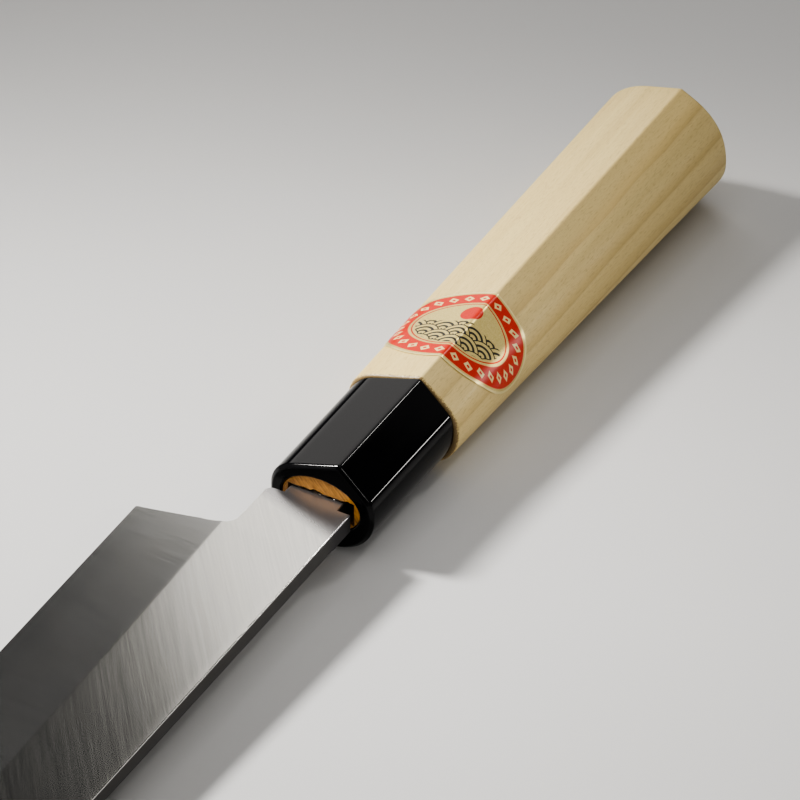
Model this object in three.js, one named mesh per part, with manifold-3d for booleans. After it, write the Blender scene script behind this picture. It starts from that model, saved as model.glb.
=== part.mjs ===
// Sashimi knife: a long single-bevel blade on a wooden handle of chestnut section.
// Millimetres. X runs from the tip to the butt, Y from the spine to the cutting edge and
// Z out of the bevelled face. The handle's axis is y = z = 0, and x = 0 is the ferrule's front face.

import * as THREE from 'three';
import { mergeVertices } from 'three/addons/utils/BufferGeometryUtils.js';
import Module from 'manifold-3d';

const wasm = await Module();
wasm.setup();

// Blade: lengths run from the heel towards the tip
const bladeLength = 270;
const bladeHeight = 36; // spine to cutting edge at the heel
const bladeThickness = 3.6; // at the heel
const tipThickness = 0.3;
const tipDrop = 3.5; // how far the tip lies below the line of the spine
const straightEdge = 180; // length of the straight part of the cutting edge
const edgeDrop = 5.3; // how far the straight edge nears the spine over that length
const bladeTaper = 1.27; // how much thinner the blade gets over that length
const bevelGain = 0.6; // how much wider the bevel gets over that length
const tipCurve = 2.1; // power of the curves from the straight edge up to the tip
const edgeLand = 0.05; // thickness left at the cutting edge
const bevelWidth = 17.6; // ridge line to cutting edge at the heel
const bladeRise = 1.6; // the flat's height above the handle's axis
const spineReach = 7.1; // the spine's distance from the handle's axis
const edgeSteelThickness = 1.0; // hard steel welded along the back, at the heel
const edgeSteelRun = 6; // how far the hard steel runs past the heel into the neck

// Hollow ground into the back of the blade
const hollowDepth = 0.4;
const hollowEndDepth = 0.04; // left where the hollow runs out
const hollowFade = 8; // power of the run-out at both ends
const hollowRim = 1.4; // flat rim left along the spine and the edge
const hollowEndRim = 2.4; // the same at both ends, and along the heel
const hollowEnd = 250; // where the hollow runs out towards the tip

// Neck and tang
const neckLength = 12.2; // heel to the step in front of the ferrule
const neckGap = 1.8; // step to the ferrule's front face
const neckWidth = 16.4;
const notchFillet = 2.6; // inside corner between heel and neck
const neckRound = 1.3; // outside corner at the end of the neck
const edgeShoulder = 3.2; // step from the neck in to the tang, on the edge side
const spineShoulder = 2.5; // the same on the spine side
const tangTipWidth = 5;
const tangTipThickness = 1.8;

// Handle
const handleLength = 136;
const ferruleLength = 28.8;
const ferruleFlare = 0.25; // how much the ferrule grows towards its rear
const ferruleRound = 0.9; // rounded edge at the ferrule's front
const tenonSideWall = 1.35; // oval tenon that fills the ferrule, beside the slot
const tenonRoofWall = 2.85; // the same above and below the slot
const tenonRecess = 0.3; // how far the tenon stops short of the ferrule's front face
const gripRound = 0.8; // rounded edge of the wood behind the ferrule
const buttRound = 1.4;
const slotClearance = 0.35; // burnt-in slot round the tang
const slotSlack = 1.5; // more room in the slot on the tang's spine side
const slotSpare = 2.5; // slot left beyond the end of the tang
const slotEndWood = 37.5; // solid wood between the slot and the butt
const adhesiveDepth = 5; // adhesive in the mouth of the slot, above the tang
const seatGap = 0.1; // clearance between pieces that are fitted together

// Handle sections, measured from the handle's axis: one sharp ridge towards the spine,
// a face falling to the edge side, a steeper face falling to the spine side and a round belly
const ferruleShape = {
  edgeReach: 10.4, spineReach: 10.4, ridgeOffset: 3.7, ridgeHeight: 9.45, bellyDepth: 9.2,
  edgeFall: 18.5, spineFall: 44.5, edgeRound: 5.0, spineRound: 1.3,
};
const gripShape = {
  edgeReach: 11.5, spineReach: 11.4, ridgeOffset: 3.7, ridgeHeight: 9.8, bellyDepth: 9.9,
  edgeFall: 17, spineFall: 41, edgeRound: 6.0, spineRound: 3.6,
};
const buttShape = {
  edgeReach: 13.2, spineReach: 14.5, ridgeOffset: 3.7, ridgeHeight: 12.0, bellyDepth: 11.8,
  edgeFall: 12.5, spineFall: 28, edgeRound: 10.0, spineRound: 9.0,
};
const bellyFullness = 0.6; // reach of the belly's curve handles, 0.55 is an ellipse

// Paper label, an oval wrapped over the ridge of the grip
const labelMiddle = 18; // behind the ferrule
const labelLength = 21.5; // along the handle
const labelWrap = 32.6; // round the handle
const labelShift = 1.2; // from the ridge towards the cutting edge
const labelLean = 0.05; // how far its edge side leans to the ferrule, as a slope
const labelThickness = 0.15;

// Finishes
const finishes = {
  blade: { color: 0xb9b7b1, roughness: 0.35, metalness: 1 },
  edge_steel: { color: 0xc6c4be, roughness: 0.28, metalness: 1 },
  handle: { color: 0xd8c69a, roughness: 0.6, metalness: 0 },
  ferrule: { color: 0x0d0d0f, roughness: 0.15, metalness: 0 },
  tang_adhesive: { color: 0x9a8a6c, roughness: 0.5, metalness: 0 },
  label: { color: 0xb8231c, roughness: 0.4, metalness: 0 },
};

// Facets
const edgeStraightSteps = 24;
const edgeCurveSteps = 28;
const hollowAlongSteps = 20;
const hollowAcrossSteps = 12;
const cornerSteps = 6;
const faceSteps = 8;
const roundSteps = 12;
const bellySteps = 16;
const labelSteps = 20;
const labelEndTurn = 0.06; // where the oval's narrow ends stop short, in radians
const roundShare = 1 - Math.SQRT1_2; // middle of a rounded edge, as a share of its radius
const margin = 4; // how far a cutting solid reaches past what it cuts
const overrun = 0.1; // the same for the hollow, as a share of its width

// Places that follow from the sizes above
const heelX = -(neckGap + neckLength);
const tipX = heelX - bladeLength;
const neckEndX = -neckGap;
const spineY = -spineReach;
const heelY = spineY + bladeHeight;
const neckEdgeY = spineY + neckWidth;
const tipY = spineY + tipDrop;
const tangEdgeY = neckEdgeY - edgeShoulder;
const tangSpineY = spineY + spineShoulder;
const tangMiddleY = (tangEdgeY + tangSpineY) / 2;
const backZ = bladeRise - bladeThickness;
const middleZ = (bladeRise + backZ) / 2;
const gripX = ferruleLength + seatGap;
const slotEndX = handleLength - slotEndWood;
const tangEndX = slotEndX - slotSpare;
const slotSpineY = tangSpineY - slotClearance - slotSlack;
const tenonHalfWidth = Math.max(tangEdgeY + slotClearance, -slotSpineY) + tenonSideWall;
const tenonHalfHeight = Math.max(bladeRise, -backZ) + slotClearance + tenonRoofWall;

// Closed solid through rings of equally many points, closed on itself or with two flat ends
function loft(rings, closedOnItself = false) {
  const count = rings[0].length;
  const positions = rings.flat().flatMap((point) => [point.x, point.y, point.z]);
  const faces = [];
  const last = closedOnItself ? rings.length : rings.length - 1;
  for (let ring = 0; ring < last; ring += 1) {
    const near = ring * count;
    const far = ((ring + 1) % rings.length) * count;
    for (let i = 0; i < count; i += 1) {
      const next = (i + 1) % count;
      faces.push([near + i, near + next, far + i]);
      faces.push([near + next, far + next, far + i]);
    }
  }
  if (!closedOnItself) {
    const end = (rings.length - 1) * count;
    faces.push(...flatEnd(rings[0]).map(([a, b, c]) => [a, c, b]));
    faces.push(...flatEnd(rings[rings.length - 1]).map(([a, b, c]) => [end + a, end + b, end + c]));
  }
  const geometry = new THREE.BufferGeometry();
  geometry.setAttribute('position', new THREE.Float32BufferAttribute(positions, 3));
  const outward = signedVolume(positions, faces) > 0;
  geometry.setIndex(faces.flatMap(([a, b, c]) => (outward ? [a, b, c] : [a, c, b])));
  return geometry;
}

// Triangles of a flat ring, turning the way the ring runs
function flatEnd(ring) {
  const normal = new THREE.Vector3();
  ring.forEach((point, i) => normal.add(point.clone().cross(ring[(i + 1) % ring.length])));
  normal.normalize();
  const right = ring[1].clone().sub(ring[0]).normalize();
  const up = normal.clone().cross(right);
  const flat = ring.map((point) => new THREE.Vector2(point.dot(right), point.dot(up)));
  return THREE.ShapeUtils.triangulateShape(flat, []);
}

function signedVolume(positions, faces) {
  const corner = (i) => new THREE.Vector3().fromArray(positions, 3 * i);
  const volumes = faces.map(([a, b, c]) => corner(a).dot(corner(b).cross(corner(c))) / 6);
  return volumes.reduce((sum, volume) => sum + volume, 0);
}

function toSolid(geometry) {
  const bare = geometry.clone();
  bare.deleteAttribute('normal');
  bare.deleteAttribute('uv');
  const merged = mergeVertices(bare);
  const vertProperties = new Float32Array(merged.attributes.position.array);
  const triVerts = new Uint32Array(merged.index.array);
  return new wasm.Manifold(new wasm.Mesh({ numProp: 3, vertProperties, triVerts }));
}

function toGeometry(solid) {
  const { vertProperties, triVerts } = solid.getMesh();
  const geometry = new THREE.BufferGeometry();
  geometry.setAttribute('position', new THREE.BufferAttribute(vertProperties, 3));
  geometry.setIndex(new THREE.BufferAttribute(triVerts, 1));
  return geometry;
}

function steps(from, to, count) {
  return Array.from({ length: count + 1 }, (_, i) => from + ((to - from) * i) / count);
}

// Lines of the blade, each at a distance from the heel towards the tip
function tipShare(distance) {
  return Math.max(0, distance - straightEdge) / (bladeLength - straightEdge);
}

function spineLine(distance) {
  return spineY + tipDrop * (distance / bladeLength) ** 2;
}

// A line with a straight part, which ends in a curve to its value at the tip
function lineToTip(start, fall, tip, distance) {
  const straight = start - (fall * distance) / straightEdge;
  const straightAtTip = start - (fall * bladeLength) / straightEdge;
  return straight - (straightAtTip - tip) * tipShare(distance) ** tipCurve;
}

function edgeLine(distance) {
  return lineToTip(heelY, edgeDrop, tipY, distance);
}

function ridgeLine(distance) {
  return lineToTip(heelY - bevelWidth, edgeDrop + bevelGain, tipY, distance);
}

function flatLine(distance) {
  return lineToTip(bladeRise, bladeTaper, backZ + tipThickness, distance);
}

function weldLine(distance) {
  return THREE.MathUtils.lerp(backZ, flatLine(distance), edgeSteelThickness / bladeThickness);
}

function edgeStations() {
  const straight = steps(0, straightEdge, edgeStraightSteps);
  const curved = steps(straightEdge, bladeLength, edgeCurveSteps).slice(1);
  return [...straight, ...curved];
}

// Side view of the blade with its notch, neck and tang
function bladeOutline() {
  const outline = new THREE.Shape();
  const stations = edgeStations().slice(0, -1);
  const filletX = heelX + notchFillet;
  const filletY = neckEdgeY + notchFillet;
  outline.moveTo(tipX, tipY);
  stations.toReversed().forEach((s) => outline.lineTo(heelX - s, edgeLine(s)));
  outline.lineTo(heelX, filletY);
  outline.absarc(filletX, filletY, notchFillet, Math.PI, 1.5 * Math.PI, false);
  outline.lineTo(neckEndX - neckRound, neckEdgeY);
  outline.absarc(neckEndX - neckRound, neckEdgeY - neckRound, neckRound, Math.PI / 2, 0, true);
  outline.lineTo(neckEndX, tangEdgeY);
  outline.lineTo(tangEndX, tangMiddleY + tangTipWidth / 2);
  outline.lineTo(tangEndX, tangMiddleY - tangTipWidth / 2);
  outline.lineTo(neckEndX, tangSpineY);
  outline.lineTo(neckEndX, spineY);
  stations.forEach((s) => outline.lineTo(heelX - s, spineLine(s)));
  const depth = bladeThickness + 2 * margin;
  const shape = { depth, bevelEnabled: false, curveSegments: cornerSteps };
  return new THREE.ExtrudeGeometry(outline, shape).translate(0, 0, backZ - margin);
}

// Slab across the whole height of the blade, from a top view of points (x, z)
function slab(points) {
  const profile = new THREE.Shape(points.map(([x, z]) => new THREE.Vector2(x, z)));
  const depth = bladeHeight + 2 * margin;
  const geometry = new THREE.ExtrudeGeometry(profile, { depth, bevelEnabled: false });
  return geometry.rotateX(Math.PI / 2).translate(0, heelY + margin, 0);
}

// The blade's thickness, which tapers to the tip and along the tang
function thicknessSlab() {
  const tangTipBack = middleZ - tangTipThickness / 2;
  const tangTipTop = middleZ + tangTipThickness / 2;
  return slab([
    [tipX - margin, backZ],
    [neckEndX, backZ],
    [tangEndX, tangTipBack],
    [tangEndX + margin, tangTipBack],
    [tangEndX + margin, tangTipTop],
    [tangEndX, tangTipTop],
    [neckEndX, bladeRise],
    ...edgeStations().map((s) => [heelX - s, flatLine(s)]),
    [tipX - margin, flatLine(bladeLength)],
  ]);
}

// Everything on the back's side of the weld between hard steel and cladding
function weldSlab() {
  const weldEndX = heelX + edgeSteelRun;
  return slab([
    [tipX - margin, backZ - margin],
    [weldEndX, backZ - margin],
    [weldEndX, weldLine(0)],
    ...edgeStations().map((s) => [heelX - s, weldLine(s)]),
    [tipX - margin, weldLine(bladeLength)],
  ]);
}

// Everything above the bevel, which runs from the ridge line down to the cutting edge
function bevelCutter() {
  const nearTip = bladeLength - 2 * edgeLand;
  const cutRing = (distance, x) => {
    const ridge = new THREE.Vector3(x, ridgeLine(distance), flatLine(distance));
    const edge = new THREE.Vector3(x, edgeLine(distance), backZ + edgeLand);
    const run = edge.clone().sub(ridge).setLength(margin);
    const before = ridge.clone().sub(run);
    const beyond = edge.clone().add(run);
    const lift = new THREE.Vector3(0, 0, bladeThickness + margin);
    return [before, beyond, beyond.clone().add(lift), before.clone().add(lift)];
  };
  const stations = [-margin, ...edgeStations().slice(0, -1), nearTip];
  const rings = stations.map((s) => cutRing(s, heelX - s));
  rings.push(cutRing(nearTip, tipX - margin));
  return loft(rings);
}

// The shallow hollow along the back, an arc across the blade that fades out at both ends
function hollowCutter() {
  const between = THREE.MathUtils.lerp;
  const rings = steps(0, Math.PI, hollowAlongSteps).map((turn) => {
    const along = -Math.cos(turn);
    const s = between(hollowEndRim, hollowEnd, (1 + along) / 2);
    const x = heelX - s;
    const rim = between(hollowRim, hollowEndRim, along ** 2);
    const low = spineLine(s) + rim;
    const high = edgeLine(s) - rim;
    const depth = between(hollowDepth, hollowEndDepth, Math.abs(along) ** hollowFade);
    const arc = steps(-1 - overrun, 1 + overrun, hollowAcrossSteps).map((across) => {
      const y = low + ((high - low) * (1 + across)) / 2;
      return new THREE.Vector3(x, y, backZ + depth * (1 - across ** 2));
    });
    const floor = backZ - margin;
    return [...arc, new THREE.Vector3(x, high, floor), new THREE.Vector3(x, low, floor)];
  });
  return loft(rings);
}

// Hard steel and soft cladding, split along the weld
function bladeSolids() {
  const whole = toSolid(bladeOutline())
    .intersect(toSolid(thicknessSlab()))
    .subtract(toSolid(bevelCutter()))
    .subtract(toSolid(hollowCutter()));
  const [edgeSteel, cladding] = whole.split(toSolid(weldSlab()));
  return { edgeSteel: toGeometry(edgeSteel), cladding: toGeometry(cladding) };
}

// Closed section of the handle as points (y, z), from the ridge down the edge side and round
function handleSection(shape) {
  const direction = (degrees) => {
    const angle = THREE.MathUtils.degToRad(degrees);
    return new THREE.Vector2(Math.cos(angle), -Math.sin(angle));
  };
  const ridge = new THREE.Vector2(-shape.ridgeOffset, shape.ridgeHeight);
  const edgeDirection = direction(shape.edgeFall);
  const spineDirection = direction(180 - shape.spineFall);
  const edgeFace = (shape.edgeReach - ridge.x) / edgeDirection.x;
  const spineFace = (-shape.spineReach - ridge.x) / spineDirection.x;
  const edgeCorner = ridge.clone().addScaledVector(edgeDirection, edgeFace);
  const spineCorner = ridge.clone().addScaledVector(spineDirection, spineFace);
  const edgeStart = ridge.clone().addScaledVector(edgeDirection, edgeFace - shape.edgeRound);
  const spineStart = ridge.clone().addScaledVector(spineDirection, spineFace - shape.spineRound);
  const edgeSide = edgeCorner.y - shape.edgeRound;
  const spineSide = Math.min(spineCorner.y - shape.spineRound, 0);
  const bellyEdge = (edgeSide + shape.bellyDepth) * bellyFullness;
  const bellySpine = (spineSide + shape.bellyDepth) * bellyFullness;
  const path = new THREE.Path();
  path.moveTo(ridge.x, ridge.y);
  path.lineTo(edgeStart.x, edgeStart.y);
  path.quadraticCurveTo(edgeCorner.x, edgeCorner.y, shape.edgeReach, edgeSide);
  path.bezierCurveTo(
    shape.edgeReach, edgeSide - bellyEdge,
    shape.edgeReach * bellyFullness, -shape.bellyDepth,
    0, -shape.bellyDepth,
  );
  path.bezierCurveTo(
    -shape.spineReach * bellyFullness, -shape.bellyDepth,
    -shape.spineReach, spineSide - bellySpine,
    -shape.spineReach, spineSide,
  );
  path.quadraticCurveTo(spineCorner.x, spineCorner.y, spineStart.x, spineStart.y);
  path.lineTo(ridge.x, ridge.y);
  const counts = [faceSteps, roundSteps, bellySteps, bellySteps, roundSteps, faceSteps];
  return path.curves.flatMap((curve, i) => curve.getPoints(counts[i]).slice(0, -1));
}

// Ring of a section at x, moved outwards by a distance at the section's own reach
function ringAt(section, x, outwards = 0) {
  const reach = Math.max(...section.map((point) => point.x));
  const scale = 1 + outwards / reach;
  return section.map((point) => new THREE.Vector3(x, point.x * scale, point.y * scale));
}

// Oval ring whose points lie in the same directions as the section's
function ovalRing(section, x, halfWidth, halfHeight) {
  return section.map((point) => {
    const reach = 1 / Math.hypot(point.x / halfWidth, point.y / halfHeight);
    return new THREE.Vector3(x, point.x * reach, point.y * reach);
  });
}

function ferruleGeometry() {
  const section = handleSection(ferruleShape);
  const boreHalfWidth = tenonHalfWidth + seatGap;
  const boreHalfHeight = tenonHalfHeight + seatGap;
  const roundMiddle = ferruleRound * roundShare;
  return loft([
    ringAt(section, 0, -ferruleRound),
    ringAt(section, roundMiddle, -roundMiddle),
    ringAt(section, ferruleRound),
    ringAt(section, ferruleLength, ferruleFlare),
    ovalRing(section, ferruleLength, boreHalfWidth, boreHalfHeight),
    ovalRing(section, 0, boreHalfWidth, boreHalfHeight),
  ], true);
}

// The tang's sides at x
function tangSides(x) {
  const share = (x - neckEndX) / (tangEndX - neckEndX);
  const between = THREE.MathUtils.lerp;
  return {
    edge: between(tangEdgeY, tangMiddleY + tangTipWidth / 2, share),
    spine: between(tangSpineY, tangMiddleY - tangTipWidth / 2, share),
    top: between(bladeRise, middleZ + tangTipThickness / 2, share),
    back: between(backZ, middleZ - tangTipThickness / 2, share),
  };
}

// Rectangular ring at x between two values of y and two of z
function boxRing(x, lowY, highY, lowZ, highZ) {
  return [
    new THREE.Vector3(x, highY, highZ),
    new THREE.Vector3(x, lowY, highZ),
    new THREE.Vector3(x, lowY, lowZ),
    new THREE.Vector3(x, highY, lowZ),
  ];
}

// Ring of the slot round the tang at x
function slotRing(x) {
  const tang = tangSides(x);
  const spine = tang.spine - slotClearance - slotSlack;
  const back = tang.back - slotClearance;
  return boxRing(x, spine, tang.edge + slotClearance, back, tang.top + slotClearance);
}

// Grip section at x, between the wood's front and the butt
function gripSection(x) {
  const front = handleSection(gripShape);
  const butt = handleSection(buttShape);
  const share = (x - gripX) / (handleLength - gripX);
  return front.map((point, i) => point.clone().lerp(butt[i], share));
}

// Wooden grip and tenon in one piece, with the slot for the tang
function handleGeometry() {
  const bore = handleSection(ferruleShape);
  const gripRing = (x, outwards) => ringAt(gripSection(x), x, outwards);
  const frontMiddle = gripRound * roundShare;
  const buttMiddle = buttRound * roundShare;
  const body = loft([
    ovalRing(bore, tenonRecess, tenonHalfWidth, tenonHalfHeight),
    ovalRing(bore, gripX, tenonHalfWidth, tenonHalfHeight),
    gripRing(gripX, -gripRound),
    gripRing(gripX + frontMiddle, -frontMiddle),
    gripRing(gripX + gripRound),
    gripRing(handleLength - buttRound),
    gripRing(handleLength - buttMiddle, -buttMiddle),
    gripRing(handleLength, -buttRound),
  ]);
  const slot = loft([slotRing(tenonRecess - margin), slotRing(slotEndX)]);
  return toGeometry(toSolid(body).subtract(toSolid(slot)));
}

// Adhesive squeezed into the mouth of the slot, along the tang's upper face
function adhesiveGeometry() {
  const rings = [tenonRecess, tenonRecess + adhesiveDepth].map((x) => {
    const tang = tangSides(x);
    const roof = tang.top + slotClearance;
    return boxRing(x, tang.spine, tang.edge, tang.top + seatGap, roof - seatGap);
  });
  return loft(rings);
}

// Oval label in strips along the handle, from its edge side over the ridge to its spine side
function labelGeometry() {
  const middleX = ferruleLength + labelMiddle;
  const halfWrap = labelWrap / 2;
  const ridgeTurn = Math.acos(-labelShift / halfWrap);
  const turns = [
    ...steps(labelEndTurn, ridgeTurn, labelSteps),
    ...steps(ridgeTurn, Math.PI - labelEndTurn, labelSteps).slice(1),
  ];
  const rings = turns.map((turn) => {
    const round = labelShift + halfWrap * Math.cos(turn);
    const x = middleX - labelLean * round;
    const half = (labelLength / 2) * Math.sin(turn);
    return [
      gripPoint(x - half, round, middleX, seatGap),
      gripPoint(x + half, round, middleX, seatGap),
      gripPoint(x + half, round, middleX, seatGap + labelThickness),
      gripPoint(x - half, round, middleX, seatGap + labelThickness),
    ];
  });
  return loft(rings);
}

// Point on the grip at x, a distance round from the ridge as measured at another x
function gripPoint(x, round, measuredX, outwards) {
  const measured = gripSection(measuredX);
  const here = ringAt(gripSection(x), x, outwards);
  const count = measured.length;
  const step = round < 0 ? -1 : 1;
  let index = 0;
  let left = Math.abs(round);
  let length = measured[0].distanceTo(measured[(count + step) % count]);
  while (left > length) {
    left -= length;
    index += step;
    length = measured[(count + index) % count].distanceTo(measured[(count + index + step) % count]);
  }
  const from = here[(count + index) % count];
  const to = here[(count + index + step) % count];
  return from.clone().lerp(to, left / length);
}

function piece(name, geometry) {
  const material = new THREE.MeshStandardMaterial({ ...finishes[name], flatShading: true });
  const mesh = new THREE.Mesh(geometry, material);
  mesh.name = name;
  return mesh;
}

// Assembly, with the origin under the middle of the knife
const { edgeSteel, cladding } = bladeSolids();
const knife = new THREE.Group();
knife.add(
  piece('blade', cladding),
  piece('edge_steel', edgeSteel),
  piece('handle', handleGeometry()),
  piece('ferrule', ferruleGeometry()),
  piece('tang_adhesive', adhesiveGeometry()),
  piece('label', labelGeometry()),
);
const box = new THREE.Box3().setFromObject(knife);
const middle = box.getCenter(new THREE.Vector3());
knife.position.set(-middle.x, -middle.y, -box.min.z);

export default knife;
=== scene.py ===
# Looks of the sashimi knife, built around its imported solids. Blender units are metres.
# Sizes here are in millimetres, in the knife's own directions: x runs from the tip to the butt,
# y from the spine to the cutting edge and z out of the bevelled face. The handle's axis is y = z = 0,
# and x = 0 is the ferrule's front face. A distance called s runs along the blade from the heel to the tip.

import math

import bmesh
import bpy
import numpy as np
from mathutils import Matrix, Quaternion, Vector


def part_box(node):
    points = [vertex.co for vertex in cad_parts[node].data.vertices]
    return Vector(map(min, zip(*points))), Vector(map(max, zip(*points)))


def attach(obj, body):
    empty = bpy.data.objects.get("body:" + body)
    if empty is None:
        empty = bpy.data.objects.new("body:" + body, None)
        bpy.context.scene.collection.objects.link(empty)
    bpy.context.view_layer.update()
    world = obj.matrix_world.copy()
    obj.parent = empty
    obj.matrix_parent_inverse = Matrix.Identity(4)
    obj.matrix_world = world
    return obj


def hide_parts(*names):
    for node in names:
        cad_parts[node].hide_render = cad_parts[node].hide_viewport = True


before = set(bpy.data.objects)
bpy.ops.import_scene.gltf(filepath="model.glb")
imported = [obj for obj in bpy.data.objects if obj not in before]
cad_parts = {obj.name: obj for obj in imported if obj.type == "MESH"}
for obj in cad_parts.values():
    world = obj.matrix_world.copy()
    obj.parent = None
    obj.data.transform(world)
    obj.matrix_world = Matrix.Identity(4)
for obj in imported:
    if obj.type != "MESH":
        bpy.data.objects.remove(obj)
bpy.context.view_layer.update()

# Blade
BLADE_LENGTH = 270
BLADE_THICKNESS = 3.6
TIP_THICKNESS = 0.3
TIP_BLUNT = 0.2
STRAIGHT_EDGE = 180
TIP_DROP = 3.5
EDGE_DROP = 5.3
BLADE_TAPER = 1.27
BEVEL_GAIN = 0.6
TIP_CURVE = 2.1
EDGE_LAND = 0.05
BEVEL_WIDTH = 17.6
LEAST_BEVEL = 0.05
HARD_STEEL = 1.0
HARD_STEEL_END_X = -8
HEEL_X = -14
SPINE_Y = -7.1
HEEL_Y = 28.9
FLAT_Z = 1.6
BACK_Z = FLAT_Z - BLADE_THICKNESS
MIDDLE_Z = (FLAT_Z + BACK_Z) / 2
TIP_Y = SPINE_Y + TIP_DROP
SPINE_ROUND = 0.28
RIDGE_EASE = 0.4
HEEL_EASE = 0.16

# Hollow of the back
HOLLOW_DEPTH = 0.4
HOLLOW_FADE = 8
HOLLOW_RIM = 1.4
HOLLOW_END_RIM = 2.4
HOLLOW_END = 250

# Neck and tang
NECK_END_X = -1.8
NECK_EDGE_Y = 9.3
NOTCH_FILLET = 2.6
NECK_ROUND = 1.3
TANG_EDGE_Y = 6.1
TANG_SPINE_Y = -4.6
TANG_END_X = 96
TANG_TIP_WIDTH = 5
TANG_TIP_THICKNESS = 1.8
TANG_MIDDLE_Y = (TANG_EDGE_Y + TANG_SPINE_Y) / 2
TANG_EASE_WIDTH = 0.3
TANG_EASE_DROP = 0.05

# Handle
HANDLE_LENGTH = 136
FERRULE_LENGTH = 28.8
FERRULE_FLARE = 0.25
FERRULE_CHAMFER = 0.7
FERRULE_EASE = 0.16
FERRULE_RIDGE = 0.5
GRIP_X = 28.9
GRIP_ROUND = 0.8
GRIP_RIDGE = 0.35
BUTT_ROUND = 1.4
TENON_HALF_WIDTH = 7.8
TENON_HALF_HEIGHT = 5.2
TENON_X = 0.3
TENON_MIDDLE_X = 14
TENON_EASE = 0.1
BORE_GAP = 0.1
BORE_BEVEL = 0.25
SLOT_CLEARANCE = 0.35
SLOT_SLACK = 1.5
SLOT_END_X = 98.5
BELLY_FULLNESS = 0.6
RIDGE_OFFSET = 3.7
FERRULE_SHAPE = dict(edge_reach=10.4, spine_reach=10.4, ridge_height=9.45, belly_depth=9.2,
                     edge_fall=18.5, spine_fall=44.5, edge_round=5.0, spine_round=1.3)
GRIP_SHAPE = dict(edge_reach=11.5, spine_reach=11.4, ridge_height=9.8, belly_depth=9.9,
                  edge_fall=17, spine_fall=41, edge_round=6.0, spine_round=3.6)
BUTT_SHAPE = dict(edge_reach=13.2, spine_reach=14.5, ridge_height=12.0, belly_depth=11.8,
                  edge_fall=12.5, spine_fall=28, edge_round=10.0, spine_round=9.0)

# Ragged mouth of the slot. Each wave has a pitch, a size, a share of the ring's own start and a start.
SLOT_RAGGED = 0.28
RAGGED_LEVEL = 0.35
RAGGED_SWING = 0.3
RAGGED_LIFT = 0.6
RAGGED_WAVES = ((2.1, 1.0, 1, 0.0), (4.1, 0.5, 0, 2.2), (0.9, 1.0, 2, 0.0))

# Adhesive in the mouth of the slot. Each wave has a pitch and a start.
BEAD_INSET = 0.2
BEAD_DEPTH = 0.75
BEAD_LIFT = 0.02
BEAD_LEAST_HEIGHT = 0.04
BEAD_SWELL_HEIGHT = 0.24
BEAD_LEAST_REACH = 0.15
BEAD_SWELL_REACH = 0.55
BEAD_END_SLOPE = 8
BEAD_END_SIZE = 0.05
BEAD_WAVES = ((3.1, 0.6), (1.3, 1.9))

# Label
LABEL_X = 46.8
LABEL_LENGTH = 21.5
LABEL_WRAP = 32.6
LABEL_SHIFT = 1.2
LABEL_LEAN = 0.05
LABEL_LIFT = 0.05
LABEL_THICKNESS = 0.12
LABEL_END_TURN = 0.03

# Camera, with the photograph taken as 800 by 800 pixels
PICTURE = 800
FOCAL_PIXELS = 3400
SENSOR = 36
CAMERA_AZIMUTH = -60.57
CAMERA_ELEVATION = 37.3
CAMERA_PLACE = (-0.31763, -0.24407, 0.382915)
CAMERA_CLIP = 0.02

MM = 0.001
MERGE_DISTANCE = 1e-6
TINY = 1e-9

# Where the knife's own zero lies in the frame, in metres
ORIGIN = Vector((
    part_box("ferrule")[0].x,
    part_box("blade")[0].y - SPINE_Y * MM,
    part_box("edge_steel")[0].z - BACK_Z * MM,
))


def lerp(start, end, share):
    return start + (end - start) * share


# Meshes

def skin(rings, closed=False):
    """Points and faces through rings of equally many points, with flat ends or closed on itself."""
    count = len(rings[0])
    faces = []
    last = len(rings) if closed else len(rings) - 1
    for ring in range(last):
        near = ring * count
        far = (ring + 1) % len(rings) * count
        for i in range(count):
            after = (i + 1) % count
            faces.append((near + i, near + after, far + after, far + i))
    if not closed:
        end = (len(rings) - 1) * count
        faces.append(tuple(range(count)))
        faces.append(tuple(range(end, end + count)))
    return [point for ring in rings for point in ring], faces


def add_object(name, data):
    added = bpy.data.objects.new(name, data)
    bpy.context.scene.collection.objects.link(added)
    return added


def make_piece(name, points, faces, materials, smooth_angle, kinds=None, places=None):
    """A closed piece that rides on the knife, from points in millimetres. Kinds give each face its surface,
    and places give each point its place in the print."""
    mesh = bpy.data.meshes.new(name)
    mesh.from_pydata([ORIGIN + Vector(point) * MM for point in points], [], faces)
    for material in materials:
        mesh.materials.append(material)
    if kinds is not None:
        mesh.polygons.foreach_set("material_index", kinds)
    if places is not None:
        layer = mesh.uv_layers.new(name="print")
        for loop in mesh.loops:
            layer.data[loop.index].uv = places[loop.vertex_index]
    work = bmesh.new()
    work.from_mesh(mesh)
    bmesh.ops.remove_doubles(work, verts=work.verts, dist=MERGE_DISTANCE)
    bmesh.ops.recalc_face_normals(work, faces=work.faces)
    work.to_mesh(mesh)
    work.free()
    mesh.polygons.foreach_set("use_smooth", [True] * len(mesh.polygons))
    mesh.set_sharp_from_angle(angle=math.radians(smooth_angle))
    piece = add_object(name, mesh)
    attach(piece, "root")
    return piece


def line_points(start, end, count):
    """Points from start up to, but without, end."""
    return [np.array(start) + (np.array(end) - np.array(start)) * i / count for i in range(count)]


def curve_points(controls, count):
    """Points of a Bezier curve from its first control up to, but without, its last."""
    found = []
    for i in range(count):
        level = [np.array(control, float) for control in controls]
        while len(level) > 1:
            level = [lerp(a, b, i / count) for a, b in zip(level, level[1:])]
        found.append(level[0])
    return found


# Lines of the blade

def tip_share(s):
    return max(0.0, s - STRAIGHT_EDGE) / (BLADE_LENGTH - STRAIGHT_EDGE)


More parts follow.
